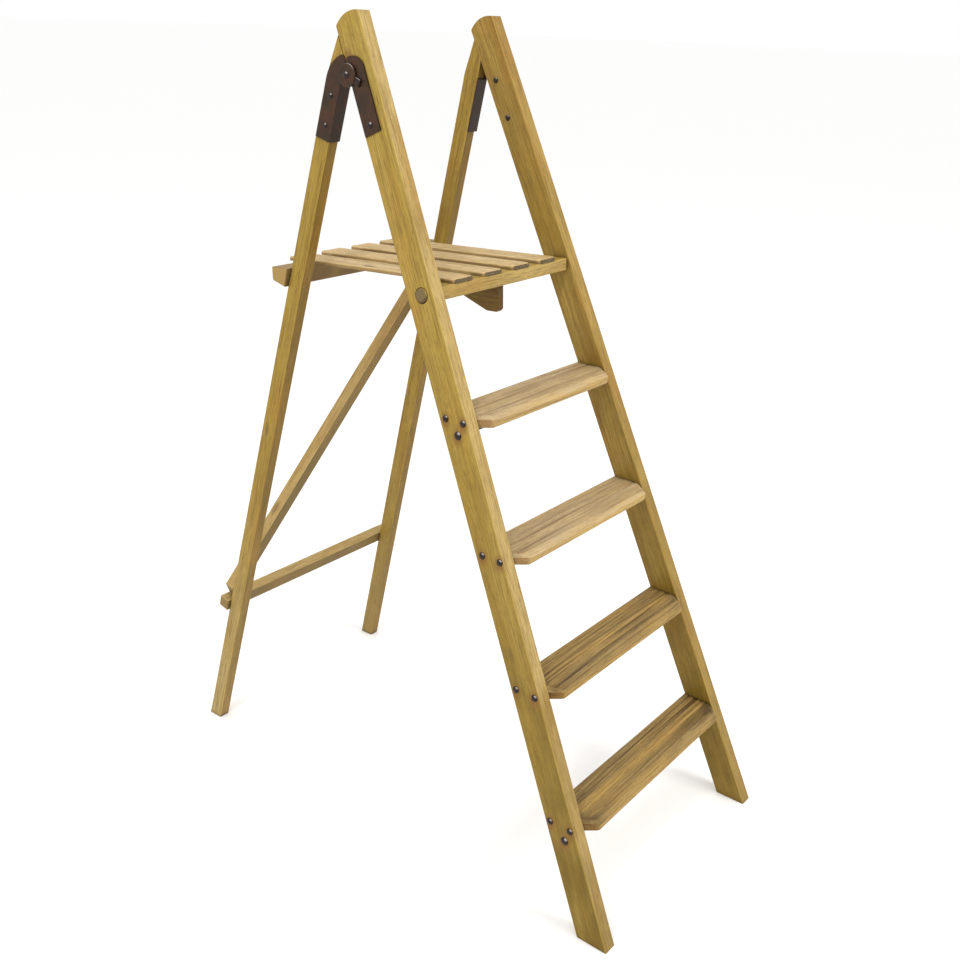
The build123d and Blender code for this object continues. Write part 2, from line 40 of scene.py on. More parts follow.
# Stance of the ladder, as in the CAD
STILE_LEAN = radians(24.13)
LEG_LEAN = radians(-13.93)
STILE_SPLAY = radians(3.38)
LEG_SPLAY = radians(2.62)
BRACE_PITCH = radians(57.6)
DECK_PITCH = radians(3.0)
TOE_Y = -0.5496
STILE_INNER_AT_FLOOR = 0.2536
STILE_DEPTH = 0.057
TREAD_FIRST_TOP = 0.2124
TREAD_RISE = 0.2232
TREAD_THICKNESS = 0.022
TREAD_NOSE = 0.025
TREAD_END_CUT = 0.022
DECK_PIVOT = (-0.0416, 1.0735)
SLAT_WIDTH = 0.055
SLAT_PITCH = 0.084
SLAT_THICKNESS = 0.008
SLAT_REACH = 0.3975
RAIL_HALF_DEPTH = 0.018
RAIL_HALF_HEIGHT = 0.012
TENON_RADIUS = 0.0125
TENON_END = 0.2222

SIDES = {"left": -1, "right": 1}


# ---------------------------------------------------------------- shader helpers


def make(tree, kind, inputs=None, **settings):
    """A node with its settings made, its inputs linked or set."""
    made = tree.nodes.new(kind)
    for key, value in settings.items():
        setattr(made, key, value)
    for key, value in (inputs or {}).items():
        socket = made.inputs[key]
        if isinstance(value, bpy.types.NodeSocket):
            tree.links.new(value, socket)
        else:
            socket.default_value = value
    return made


def calc(tree, operation, a, b=0.0, clamp=False):
    made = make(tree, "ShaderNodeMath", {0: a, 1: b}, operation=operation, use_clamp=clamp)
    return made.outputs[0]


def times(tree, a, b):
    return calc(tree, "MULTIPLY", a, b)


def plus(tree, a, b):
    return calc(tree, "ADD", a, b)


def minus(tree, a, b):
    return calc(tree, "SUBTRACT", a, b)


def vector_calc(tree, operation, a, b):
    made = make(tree, "ShaderNodeVectorMath", {0: a, 1: b}, operation=operation)
    return made.outputs["Value" if operation in ("DOT_PRODUCT", "LENGTH") else "Vector"]


def mix(tree, factor, a, b):
    made = make(tree, "ShaderNodeMix", {0: factor, 6: a, 7: b}, data_type="RGBA", blend_type="MIX")
    return made.outputs[2]


def spread(tree, value, low, high, to_low=0.0, to_high=1.0):
    """The value, stretched so that low becomes to_low and high becomes to_high."""
    inputs = {"Value": value, "From Min": low, "From Max": high,
              "To Min": to_low, "To Max": to_high}
    return make(tree, "ShaderNodeMapRange", inputs).outputs[0]


def tinted(tree, base, tone, cause, low, high, most=1.0):
    """The base with a tone laid over it: none where the cause is low, the most where it is high."""
    return mix(tree, spread(tree, cause, low, high, 0.0, most), base, tone)


def cloud(tree, vector, scale, detail=3.0, roughness=0.55):
    inputs = {"Vector": vector, "Scale": scale, "Detail": detail, "Roughness": roughness,
              "Distortion": 0.0}
    return make(tree, "ShaderNodeTexNoise", inputs).outputs[0]


def stretched(tree, vector, sizes):
    return vector_calc(tree, "MULTIPLY", vector, sizes)


def grain(tree, space, sizes, detail, roughness=0.55):
    """Noise with its own size along the grain, across the board and through it."""
    return cloud(tree, stretched(tree, space, sizes), 1.0, detail, roughness)


def rgb(*values):
    return (*values, 1.0)


def coordinate(tree, name):
    return make(tree, "ShaderNodeTexCoord").outputs[name]


def board_space(tree, along, across, shift):
    """Metres along the grain, across the board and through it, for a board at any lean."""
    spot = coordinate(tree, "Object")
    along = Vector(along).normalized()
    across = Vector(across).normalized()
    axes = (along, across, along.cross(across))
    parts = [vector_calc(tree, "DOT_PRODUCT", spot, tuple(axis)) for axis in axes]
    joined = make(tree, "ShaderNodeCombineXYZ", dict(enumerate(parts))).outputs[0]
    return vector_calc(tree, "ADD", joined, shift)


def facing(tree, axis):
    """How squarely a face looks along an axis of the piece, either way."""
    unit = tuple(Vector(axis).normalized())
    along_axis = vector_calc(tree, "DOT_PRODUCT", coordinate(tree, "Normal"), unit)
    return calc(tree, "ABSOLUTE", along_axis)


def crevice_shade_and_grime(tree, distance, strength):
    """Painted shade, with some grime, darkening close to a joint or a screw head where it is
    occluded.
    """
    inputs = {"Distance": distance}
    hollow = make(tree, "ShaderNodeAmbientOcclusion", inputs, samples=8).outputs["AO"]
    return calc(tree, "MULTIPLY", spread(tree, hollow, 0.85, 0.25), strength, clamp=True)


def stain(tree, spots, reach):
    """1 close to any of the spots, fading to 0 at the reach, drawn out a little down the wood."""
    place = coordinate(tree, "Object")
    ragged = times(tree, cloud(tree, place, 220.0, 3.0), 0.006)
    nearest = None
    for spot in spots:
        offset = vector_calc(tree, "SUBTRACT", place, tuple(Vector(spot) - STAIN_DROP))
        squat = stretched(tree, offset, (1.0, 1.0, 0.7))
        away = vector_calc(tree, "LENGTH", squat, (0, 0, 0))
        nearest = away if nearest is None else calc(tree, "MINIMUM", nearest, away)
    return spread(tree, minus(tree, nearest, ragged), reach, 0.25 * reach)


def new_material(name, specular):
    """An empty material, with its node tree and its shader."""
    material = bpy.data.materials.new(name)
    material.use_nodes = True
    shader = material.node_tree.nodes["Principled BSDF"]
    shader.inputs["Specular IOR Level"].default_value = specular
    return material, material.node_tree, shader


def finish_material(tree, shader, colour, roughness, relief, strength, depth):
    bump = make(tree, "ShaderNodeBump", {"Height": relief, "Strength": strength, "Distance": depth})
    tree.links.new(colour, shader.inputs["Base Color"])
    tree.links.new(roughness, shader.inputs["Roughness"])
    tree.links.new(bump.outputs[0], shader.inputs["Normal"])


def wood(name, along, across, shift, tones, ring=0.004, pith=(0.02, 0.05), grey=0.35, shade_and_grime=0.6,
         gloss=0.42, foot=None, spots=(), worn=False, shade=0.0):
    """Old varnished wood: rings, fibres, pores, smudges, knots, stained and darker ends.

    shift sets this board's place in the log, ring is the width of a ring and pith the place of
    the tree's heart beside the board. foot is a tone and the height it fades out at, spots are
    the heads that stain the wood, and shade is how far the front and back faces are darkened.
    """
    material, tree, shader = new_material(name, specular=0.2)
    space = board_space(tree, along, across, shift)
    light, mid, dark, aged, warm, flank_light_and_shade_tone, end_tone = (rgb(*tone) for tone in tones)

    # The figure of the wood
    drift = grain(tree, space, (1.6, 14, 14), 3.0)
    sway = make(tree, "ShaderNodeCombineXYZ", {1: times(tree, minus(tree, drift, 0.5), 0.03)})
    warped = vector_calc(tree, "ADD", space, sway.outputs[0])
    ring_space = stretched(tree, vector_calc(tree, "ADD", warped, (0, *pith)), (0.05, 1, 1))
    rings = make(
        tree, "ShaderNodeTexWave",
        {"Vector": ring_space, "Scale": WAVE_WIDTH / ring, "Distortion": 2.6,
         "Detail": 3.0, "Detail Scale": 0.6, "Detail Roughness": 0.6},
        wave_type="RINGS", rings_direction="X", wave_profile="SAW",
    ).outputs[1]
    fibres = grain(tree, warped, (9, 420, 420), 5.0, 0.65)
    dashes = grain(tree, warped, (42, 330, 330), 3.0, 0.6)
    broad = grain(tree, warped, (4, 60, 60), 4.0, 0.6)
    pores = spread(tree, grain(tree, space, (60, 900, 900), 2.0), 0.60, 0.72)
    knots = make(
        tree, "ShaderNodeTexVoronoi",
        {"Vector": stretched(tree, space, (4.2, 13, 13)), "Scale": 1.0}, feature="F1",
    ).outputs["Distance"]

    # What age and use have done to it
    blotch = grain(tree, space, (7, 18, 18), 5.0, 0.6)
    smear = grain(tree, space, (26, 55, 55), 5.0, 0.7)
    tint_space = vector_calc(tree, "ADD", stretched(tree, space, (6, 22, 22)), (7.1, 3.3, 1.9))
    tint = cloud(tree, tint_space, 1.0, 4.0, 0.6)
    flank = spread(tree, facing(tree, across), 0.6, 0.85, 0.0, 0.85)

    base = tinted(tree, light, mid, rings, 0.2, 0.95, 0.7)
    base = tinted(tree, base, mid, broad, 0.38, 0.62)
    # Front and back faces take their own tone: painted light and shade by the way each face looks
    base = mix(tree, flank, base, flank_light_and_shade_tone)
    base = tinted(tree, base, warm, tint, 0.48, 0.70, 0.5)
    base = tinted(tree, base, aged, blotch, 0.44, 0.68, grey)
    base = tinted(tree, base, aged, smear, 0.46, 0.70, grey)
    base = mix(tree, times(tree, flank, shade), base, flank_light_and_shade_tone)
    if foot:
        foot_tone, foot_top = foot
        height = make(tree, "ShaderNodeSeparateXYZ", {0: coordinate(tree, "Object")}).outputs[2]
        patchy = spread(tree, blotch, 0.25, 0.6, 0.35, 1.0)
        low = times(tree, spread(tree, height, foot_top, FOOT_FULL), patchy)
        marked = times(tree, low, spread(tree, flank, 0.0, 1.0, 0.9, 0.3))
        base = mix(tree, marked, base, rgb(*foot_tone))
    if worn:
        gold = make(tree, "ShaderNodeAttribute", attribute_name="gold").outputs["Fac"]
        furrow = make(tree, "ShaderNodeAttribute", attribute_name="wear").outputs["Fac"]
        base = mix(tree, gold, base, mix(tree, broad, warm, RIDGE_GOLD))
        base = tinted(tree, base, dark, furrow, 0.42, 0.95, 0.75)
    base = tinted(tree, base, dark, fibres, 0.46, 0.66, 0.55)
    base = tinted(tree, base, dark, dashes, 0.55, 0.70, 0.38)
    base = mix(tree, times(tree, pores, 0.5), base, dark)
    base = tinted(tree, base, end_tone, knots, 0.095, 0.04, 0.75)

    # Edges lighter, partly rubbed pale by wear and partly a painted highlight; ends cut across the
    # grain
    through = Vector(along).cross(Vector(across))
    arris = calc(tree, "MINIMUM", facing(tree, across), facing(tree, through))
    patches = spread(tree, smear, 0.35, 0.65, 0.1, 0.55)
    base = mix(tree, times(tree, spread(tree, arris, 0.25, 0.5), patches), base, light)
    cut_end = spread(tree, facing(tree, along), 0.55, 0.8)
    end_rough = grain(tree, space, (50, 420, 420), 4.0, 0.6)
    end_colour = tinted(tree, end_tone, mid, end_rough, 0.5, 0.95)
    base = mix(tree, times(tree, cut_end, 0.92), base, end_colour)
    # Ends darkened by the wear mark: dirt on the treads, and painted shade in the tenons' crescent
    if worn:
        end_dirt_and_shade = times(tree, cut_end, spread(tree, furrow, 0.5, 0.95, 0.0, 0.85))
        base = mix(tree, end_dirt_and_shade, base, dark)
    if spots:
        base = mix(tree, times(tree, stain(tree, spots, STAIN_REACH), 0.7), base, IRON_STAIN)
    # Painted shade, with some grime, where the wood is occluded near joints and heads
    base = mix(tree, crevice_shade_and_grime(tree, 0.012, shade_and_grime), base, JOINT_SHADE_AND_GRIME)

    relief = plus(tree, times(tree, fibres, 0.6), times(tree, pores, -0.7))
    relief = plus(tree, relief, times(tree, end_rough, times(tree, cut_end, 1.2)))
    relief = plus(tree, relief, times(tree, broad, 0.8))
    sheen = spread(tree, smear, 0.3, 0.7, gloss, gloss + 0.16)
    sheen = plus(tree, sheen, times(tree, cut_end, 0.2))
    finish_material(tree, shader, base, sheen, relief, 0.6, 0.0007)
    return material


def steel(name, base, rust, edge, gloss, rusty, shine):
    """Old iron, mottled with rust, with painted shade on its front and back faces and a
    painted highlight on its upper roundings.

    rusty and shine say how far the rust and the painted highlight cover the base.
    """
    material, tree, shader = new_material(name, specular=0.25)
    shader.inputs["Metallic"].default_value = 0.1
    spot = coordinate(tree, "Object")
    large = cloud(tree, spot, 38.0, 5.0, 0.62)
    fine = cloud(tree, spot, 420.0, 4.0, 0.6)
    pits = spread(tree, cloud(tree, spot, 260.0, 3.0, 0.7), 0.6, 0.72)
    colour = tinted(tree, rgb(*base), rgb(*rust), large, 0.42, 0.66, rusty)
    colour = tinted(tree, colour, rgb(*edge), fine, 0.45, 0.75, 0.4)
    colour = mix(tree, times(tree, pits, 0.5), colour, PIT)
    # Painted shade, with some grime, where the iron is occluded
    colour = mix(tree, crevice_shade_and_grime(tree, 0.006, 0.85), colour, STEEL_SHADE_AND_GRIME)
    # Painted highlight: upper roundings that look this way take the bright tone
    sideways = facing(tree, (1, 0, 0))
    outward, forward_and_up = HIGHLIGHT_WAY
    raised = vector_calc(tree, "DOT_PRODUCT", coordinate(tree, "Normal"), forward_and_up)
    upper = plus(tree, times(tree, sideways, outward), raised)
    rounded = times(tree, spread(tree, upper, 0.90, 0.985), spread(tree, sideways, 0.95, 0.85))
    colour = mix(tree, times(tree, rounded, shine), colour, HIGHLIGHT_TONE)
    colour = tinted(tree, colour, SHADED_STEEL, facing(tree, (0, 1, 0)), 0.75, 0.95, 0.45)
    roughness = spread(tree, large, 0.35, 0.7, gloss, gloss + 0.2)
    relief = minus(tree, times(tree, fine, 0.5), pits)
    finish_material(tree, shader, colour, roughness, relief, 0.45, 0.0005)
    return material


# ---------------------------------------------------------------- materials

# Tones shared by the materials
RIDGE_GOLD = rgb(0.66, 0.455, 0.125)
IRON_STAIN = rgb(0.20, 0.085, 0.02)
# Painted shade, with some grime, for occluded joints in the wood
JOINT_SHADE_AND_GRIME = rgb(0.035, 0.02, 0.01)
PIT = rgb(0.012, 0.01, 0.01)
# Painted shade, with some grime, for occluded spots on the iron
STEEL_SHADE_AND_GRIME = rgb(0.006, 0.004, 0.003)
SHADED_STEEL = rgb(0.010, 0.006, 0.003)
# Painted highlight on the iron's upper roundings
HIGHLIGHT_TONE = rgb(0.42, 0.38, 0.36)

# Width of one ring of a wave texture whose scale is 1
WAVE_WIDTH = 0.314

# The way a face with a painted highlight looks: its share outward, then its share forward and up.
# The highlight tone is a painted highlight for the gleam on heads and rims, and stays put when the
# lights move.
HIGHLIGHT_WAY = (0.66, (0, -0.33, 0.675))

# How far a head's stain runs down and out, and the height below which a foot is at its dirtiest
STAIN_DROP = Vector((0, 0, 0.003))
STAIN_REACH = 0.0115
FOOT_FULL = 0.1

# Each palette: light, mid, dark, aged, warm, front and back faces, end grain. The front and back
# face tone is painted light and shade: light on the stiles, darker on the legs, brace, bar and
# rear rail, where it carries some of their shade, and dark on the slats' sides as shade in their
# gaps.
OCHRE = ((0.430, 0.300, 0.068), (0.355, 0.228, 0.034), (0.115, 0.066, 0.014), (0.22, 0.145, 0.026),
         (0.35, 0.175, 0.024), (0.50, 0.36, 0.140), (0.14, 0.085, 0.03))
# A darker copy of the ochre for the far stile: painted shade
SHADED_FAR_OCHRE = ((0.40, 0.265, 0.060), (0.30, 0.188, 0.030), (0.10, 0.055, 0.010), (0.18, 0.114, 0.022),
             (0.33, 0.15, 0.022), (0.385, 0.252, 0.062), (0.14, 0.085, 0.03))
RAIL = ((0.465, 0.325, 0.085), (0.385, 0.245, 0.045), (0.10, 0.06, 0.018), (0.22, 0.145, 0.035),
        (0.36, 0.18, 0.032), (0.44, 0.31, 0.10), (0.135, 0.095, 0.05))
LEGS = ((0.40, 0.27, 0.050), (0.32, 0.20, 0.027), (0.095, 0.052, 0.008), (0.19, 0.12, 0.020),
        (0.34, 0.16, 0.018), (0.185, 0.108, 0.020), (0.11, 0.07, 0.028))
PALE = ((0.60, 0.44, 0.185), (0.49, 0.335, 0.115), (0.17, 0.10, 0.03), (0.33, 0.23, 0.09),
        (0.42, 0.23, 0.055), (0.135, 0.092, 0.028), (0.22, 0.14, 0.05))
REAR_RAIL = ((0.42, 0.29, 0.10), (0.33, 0.215, 0.065), (0.11, 0.065, 0.02), (0.22, 0.145, 0.05),
             (0.33, 0.17, 0.04), (0.15, 0.092, 0.028), (0.34, 0.22, 0.07))
LOW_TREAD = ((0.34, 0.232, 0.085), (0.25, 0.16, 0.050), (0.060, 0.031, 0.009), (0.19, 0.13, 0.060),
             (0.31, 0.155, 0.030), (0.34, 0.22, 0.05), (0.155, 0.070, 0.015))
HIGH_TREAD = ((0.55, 0.415, 0.23), (0.44, 0.315, 0.15), (0.18, 0.11, 0.05), (0.34, 0.255, 0.15),
              (0.42, 0.25, 0.08), (0.40, 0.275, 0.08), (0.22, 0.115, 0.035))
SLAT = ((0.75, 0.55, 0.28), (0.62, 0.445, 0.195), (0.20, 0.12, 0.05), (0.36, 0.265, 0.14),
        (0.46, 0.285, 0.085), (0.15, 0.092, 0.032), (0.045, 0.032, 0.022))
# The bearer's tones are dark: painted shade from the platform above it
BEARER_IN_SHADE = ((0.19, 0.12, 0.022), (0.13, 0.076, 0.012), (0.05, 0.027, 0.005), (0.095, 0.060, 0.013),
          (0.25, 0.11, 0.012), (0.14, 0.088, 0.02), (0.09, 0.05, 0.015))

# Soiled tone of the stiles' feet, and the tone the legs' feet have paled to
STILE_FOOT = (0.155, 0.095, 0.006)
LEG_FOOT = {"left": (0.46, 0.33, 0.13), "right": (0.30, 0.205, 0.065)}

# Vertices closer than this belong to one head, and its top is within the crown's depth
HEAD_APART = 0.015
CROWN_DEPTH = 0.0012


def heads(name):
    """Where the tops of the fasteners in a CAD node stand, one spot for each head."""
    node = nodes[name]
    groups = []
    for vertex in node.data.vertices:
        spot = node.matrix_world @ vertex.co
        close = [g for g in groups if (g[0] - spot).yz.length < HEAD_APART and g[0].x * spot.x > 0]
        if close:
            close[0].append(spot)
        else:
            groups.append([spot])
    tops = []
    for group in groups:
        furthest = max(abs(spot.x) for spot in group)
        crown = [spot for spot in group if abs(spot.x) > furthest - CROWN_DEPTH]
        tops.append(sum(crown, Vector()) / len(crown))
    return tops


def lean_axes(side, lean, splay):
    """Directions along and across a leaning, splayed member."""
    along = Vector((-side * tan(splay) * cos(lean), sin(lean), cos(lean)))
    return along, Vector((0, cos(lean), -sin(lean)))


stile_wood = {}
leg_wood = {}
stile_tones = {"left": OCHRE, "right": SHADED_FAR_OCHRE}
HEADED = [f"tread_{number}_screws" for number in range(1, 5)] + ["tie_rod_lower", "tie_rod_upper"]
tread_heads = [spot for name in HEADED for spot in heads(name)]
for label, side in SIDES.items():
    near = [spot for spot in tread_heads if spot.x * side > 0]
    # Dark spots in the stain's tone where the crowns of the two hinge leaves part
    notch = [Vector((side * 0.198, 0.153, 1.434)), Vector((side * 0.198, 0.149, 1.441))]
    along, across = lean_axes(side, STILE_LEAN, STILE_SPLAY)
    stile_wood[label] = wood(
        f"stile_{label}", along, across, (0.3 * side, 0.02, 0.1 * side), stile_tones[label],
        ring=0.0055, pith=(0.01, 0.06), foot=(STILE_FOOT, 1.0), spots=near + notch)
    along, across = lean_axes(side, LEG_LEAN, LEG_SPLAY)
    leg_wood[label] = wood(
        f"leg_{label}", along, across, (1.3 * side, 0.03, 0.2 * side), LEGS,
        pith=(0.05, 0.03), grey=0.3, shade_and_grime=0.95, foot=(LEG_FOOT[label], 0.6), spots=notch)

RIGHT = (1, 0, 0)
BACK = (0, 1, 0)
UP = (0, 0, 1)
brace_along = Vector((cos(BRACE_PITCH), sin(BRACE_PITCH) * sin(LEG_LEAN),
                      sin(BRACE_PITCH) * cos(LEG_LEAN)))
brace_across = Vector((0, cos(LEG_LEAN), -sin(LEG_LEAN)))
brace_wood = wood("brace", brace_along, brace_across, (0.7, 0.1, 0.3), PALE,
                  ring=0.005, grey=0.3, shade=0.5)
bar_wood = wood("rear_bar", RIGHT, BACK, (0.2, 0.5, 0.3), PALE, grey=0.4, shade=0.5)
rail_wood = wood("platform_rail", RIGHT, BACK, (0.9, 0.2, 0.4), RAIL,
                 ring=0.005, grey=0.3, worn=True)
rear_rail_wood = wood("rear_rail", RIGHT, BACK, (0.5, 0.7, 0.2), REAR_RAIL, ring=0.005, grey=0.45)
bearer_wood = wood("bearer", BACK, UP, (0.4, 0.6, 0.1), BEARER_IN_SHADE, ring=0.006, grey=0.3)
low_tread_wood = wood("tread_low", RIGHT, BACK, (0.1, 0.3, 0.2), LOW_TREAD,
                      ring=0.005, pith=(0.0, 0.08), grey=0.5, gloss=0.5, worn=True)
high_tread_wood = wood("tread_high", RIGHT, BACK, (0.6, 0.1, 0.5), HIGH_TREAD,
                       ring=0.005, pith=(0.0, 0.08), grey=0.45, gloss=0.5, worn=True)
slat_wood = wood("slat", BACK, RIGHT, (0.8, 0.1, 0.6), SLAT,
                 ring=0.006, grey=0.3, gloss=0.5, worn=True)
hinge_steel = steel(
    "hinge_steel", base=(0.030, 0.016, 0.007), rust=(0.070, 0.023, 0.008),
    edge=(0.052, 0.030, 0.015), gloss=0.30, rusty=0.8, shine=0.55)
fixing_steel = steel(
    "fixing_steel", base=(0.014, 0.008, 0.006), rust=(0.030, 0.012, 0.008),
    edge=(0.04, 0.028, 0.022), gloss=0.16, rusty=0.7, shine=0.75)


def paint(node, material):
    slots = node.data.materials
    if not slots:
        slots.append(material)
    for index in range(len(slots)):
        slots[index] = material


MATERIAL_OF = {
    "left_stile": stile_wood["left"],
    "right_stile": stile_wood["right"],
    "rear_leg_left": leg_wood["left"],
    "rear_leg_right": leg_wood["right"],
    "rear_crossbar": bar_wood,
    "diagonal_brace": brace_wood,
    "platform_pivot_rail": rail_wood,
    "platform_rear_rail": rear_rail_wood,
    "platform_bearer": bearer_wood,
}
for node_name, node in nodes.items():
    if node_name in MATERIAL_OF:
        paint(node, MATERIAL_OF[node_name])
    elif node_name.startswith("tread") and not node_name.endswith("screws"):
        paint(node, low_tread_wood)
    elif node_name.startswith("slat") and "screws" not in node_name:
        paint(node, slat_wood)
    elif node_name.endswith("leaf"):
        paint(node, hinge_steel)
    else:
        paint(node, fixing_steel)


# ---------------------------------------------------------------- worn pieces

# Wear of the four treads, from the lowest: furrows, golden ridges, soil at the ends of the nose
TREAD_FURROW_DEPTH = (0.0022, 0.0019, 0.0013, 0.0012)
TREAD_RIDGED = (0.75, 0.75, 0.3, 0.2)
TREAD_END_SOIL = (0.8, 0.15, 0.35, 0.25)
TREAD_BACK_INSET = 0.0006
TREAD_PIECES = 150
TREAD_STEPS = 64
NOSE_STEPS = 16
UNDER_STEPS = 6
BACK_STEPS = 4
PLAIN_WEAR = 0.3

SLAT_CORNER = 0.0042
SLAT_LIP = 0.0024
SLAT_PIECES = 110
SLAT_STEPS = 34

# Rings of a domed head: share of its radius, then share of its height, or metres behind its base
DOME = ((1.0, -0.012), (1.0, 0.0), (0.97, 0.18), (0.90, 0.40), (0.76, 0.66), (0.58, 0.84),
        (0.36, 0.95), (0.14, 1.0))
HEAD_RADIUS = 0.0065
HEAD_HEIGHT = 0.0033

# Rings of a tenon's rough end: share of its radius, then how far it falls short of the end
TENON_RINGS = ((0.06, 0.0007), (0.2, 0.0006), (0.36, 0.0005), (0.52, 0.0006), (0.68, 0.0006),
               (0.8, 0.0008), (0.89, 0.0013), (0.95, 0.0020), (0.985, 0.0029), (1.0, 0.0042))
RAIL_TOP_RISE = 0.0216
RAIL_SIDE_GAP = 0.0005
RAIL_STEPS = 72
RAIL_PIECES = 60


def closed_piece(label, name, points, faces, material, sharp, body, marks=None):
    """A smooth piece with edges sharp past an angle, in place of the CAD node of that name."""
    mesh = bpy.data.meshes.new(label)
    mesh.from_pydata(points, [], faces)
    mesh.validate()
    mesh.update()
    for mark, values in (marks or {}).items():
        mesh.attributes.new(mark, "FLOAT", "POINT").data.foreach_set("value", values)
    mesh.polygons.foreach_set("use_smooth", [True] * len(mesh.polygons))
    mesh.set_sharp_from_angle(angle=radians(sharp))
    mesh.materials.append(material)
    piece = bpy.data.objects.new(label, mesh)
    scene.collection.objects.link(piece)
    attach(piece, body)
    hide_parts(name)


def lofted(name, rows, material, body):
    """A closed mesh through rows of (x, y, z, wear, gold) points, capped at both ends."""
    ring = len(rows[0])
    points = [point for row in rows for point in row]
    faces = []
    for i in range(len(rows) - 1):
        for k in range(ring):
            n = (k + 1) % ring
            faces.append((i * ring + k, (i + 1) * ring + k, (i + 1) * ring + n, i * ring + n))
    faces.append(tuple(range(ring)))
    faces.append(tuple(reversed(range((len(rows) - 1) * ring, len(rows) * ring))))
    marks = {"wear": [point[3] for point in points], "gold": [point[4] for point in points]}
    places = [point[:3] for point in points]
    closed_piece(f"worn_{name}", name, places, faces, material, 40, body, marks)


def clamped(value):
    return min(1.0, max(0.0, value))


def ramp(value, low, high):
    return clamped((value - low) / (high - low))


def noise_at(x, y, z):
    return field.noise(Vector((x, y, z)))


def stile_front_y(height):
    return TOE_Y + height * tan(STILE_LEAN)


def grooves(x, across, number):
    """How deep the tread is worn at a spot, 0 to 1: long furrows between harder ridges."""
    spot = across + 0.004 * noise_at(x * 3.0, across * 12, number * 7.3)
    furrow = noise_at(x * 2.2, spot * 215, number * 3.1)
    fine = noise_at(x * 6.0, spot * 420, number * 9.7)
    patch = noise_at(x * 5.0, across * 30, number * 1.7)
    return clamped(0.40 + 0.80 * furrow + 0.50 * fine + 0.25 * patch)


def tread_section(x, number, inner):
    """Points round the tread at one distance along it, with how worn and how golden each one is."""
    top = TREAD_FIRST_TOP + (number - 1) * TREAD_RISE
    bottom = top - TREAD_THICKNESS
    front = stile_front_y(top)
    to_end = inner - abs(x)
    nose = front - TREAD_NOSE * min(1.0, max(0.0, to_end) / TREAD_END_CUT)
    back_top = front + (STILE_DEPTH - TREAD_BACK_INSET) / cos(STILE_LEAN)
    back_bottom = back_top - TREAD_THICKNESS * tan(STILE_LEAN)
    furrow_depth = TREAD_FURROW_DEPTH[number - 1]
    ridged = TREAD_RIDGED[number - 1]
    end_soil = TREAD_END_SOIL[number - 1]
    middle = 1.0 - min(1.0, abs(x) / inner) ** 2
    hollow = 0.0022 * middle * (0.6 + 0.4 * noise_at(x * 7, number, 0))
    round_off = 0.0090 + 0.0030 * middle + 0.0014 * noise_at(x * 14, number * 5.0, 1)
    inward = ramp(to_end, 0.004, 0.035)
    points = []

    # The top, from back to nose
    for k in range(TREAD_STEPS + 1):
        t = k / TREAD_STEPS
        y = back_top + (nose - back_top) * t
        wear = grooves(x, y - front, number)
        edge = max(0.0, 1 - (y - nose) / (round_off * 1.6))
        drop = furrow_depth * wear * min(1.0, t * 9) + hollow * max(0.0, t - 0.25)
        drop += round_off * 0.75 * edge ** 2.2
        sway = 0.09 * noise_at(x * 4.0, number * 4.9, 2.0)
        band = ramp(abs(t + sway - 0.52), 0.17, 0.04)
        patch = ramp(noise_at(x * 9, (y - front) * 40, number * 2.2), -0.3, 0.35)
        gold = ridged * (0.35 + 0.65 * (1 - wear)) * max(band, 0.35 * patch)
        gold += ramp(t, 0.80, 0.97) * 0.55 * patch
        gold = min(0.9, gold * (0.4 + 0.6 * inward))
        corner = end_soil * ramp(to_end, 0.05, 0.012) * ramp(t, 0.5, 0.9)
        worn = min(1.0, wear * (1 - 0.35 * edge) + corner)
        points.append((y, top - drop, worn, gold * (1 - corner)))

    # The nose, from top to bottom
    start_z = points[-1][1]
    for k in range(1, NOSE_STEPS + 1):
        z = start_z + (bottom - start_z) * k / NOSE_STEPS
        under = max(0.0, 1 - (z - bottom) / 0.005)
        wear = grooves(x, nose - front - (start_z - z), number)
        y = nose + 0.0008 * wear + 0.003 * under ** 2
        points.append((y, z, wear * 0.8, 0.5 * (1 - under) * inward))

    # The underside and the back
    last_y = points[-1][0]
    for k in range(1, UNDER_STEPS + 1):
        y = last_y + (back_bottom - last_y) * k / UNDER_STEPS
        points.append((y, bottom, PLAIN_WEAR, 0.0))
    for k in range(1, BACK_STEPS):
        t = k / BACK_STEPS
        y = back_bottom + (back_top - back_bottom) * t
        points.append((y, bottom + (top - bottom) * t, PLAIN_WEAR, 0.0))
    return points


def worn_tread(number):
    """A tread whose top is furrowed by wear and whose nose is rubbed round, its ends cut back."""
    top = TREAD_FIRST_TOP + (number - 1) * TREAD_RISE
    inner = STILE_INNER_AT_FLOOR - top * tan(STILE_SPLAY)
    cut_stations = [-inner, -inner + 0.004, -inner + 0.010, -inner + 0.016,
                    -inner + TREAD_END_CUT - 0.0015]
    start = -inner + TREAD_END_CUT + 0.0015
    even_stations = [start + (-2 * start) * k / TREAD_PIECES for k in range(TREAD_PIECES + 1)]
    stations = cut_stations + even_stations + [-x for x in reversed(cut_stations)]
    rows = []
    for x in stations:
        section = tread_section(x, number, inner)
        rows.append([(x + (top - z) * tan(STILE_SPLAY) * x / inner, y, z, wear, gold)
                     for y, z, wear, gold in section])
    material = low_tread_wood if number < 3 else high_tread_wood
    lofted(f"tread_{number}", rows, material, "front_frame")


def deck_yz(back, up):
    """(y, z) of a point this far back from the platform's pivot and this far up from it."""
    return (DECK_PIVOT[0] + back * cos(DECK_PITCH) + up * sin(DECK_PITCH),
            DECK_PIVOT[1] - back * sin(DECK_PITCH) + up * cos(DECK_PITCH))


def rounding(radius, distance):
    """How far a round edge has fallen away at a distance in from it."""
    if distance >= radius:
        return 0.0
    return radius - sqrt(radius ** 2 - (radius - distance) ** 2)


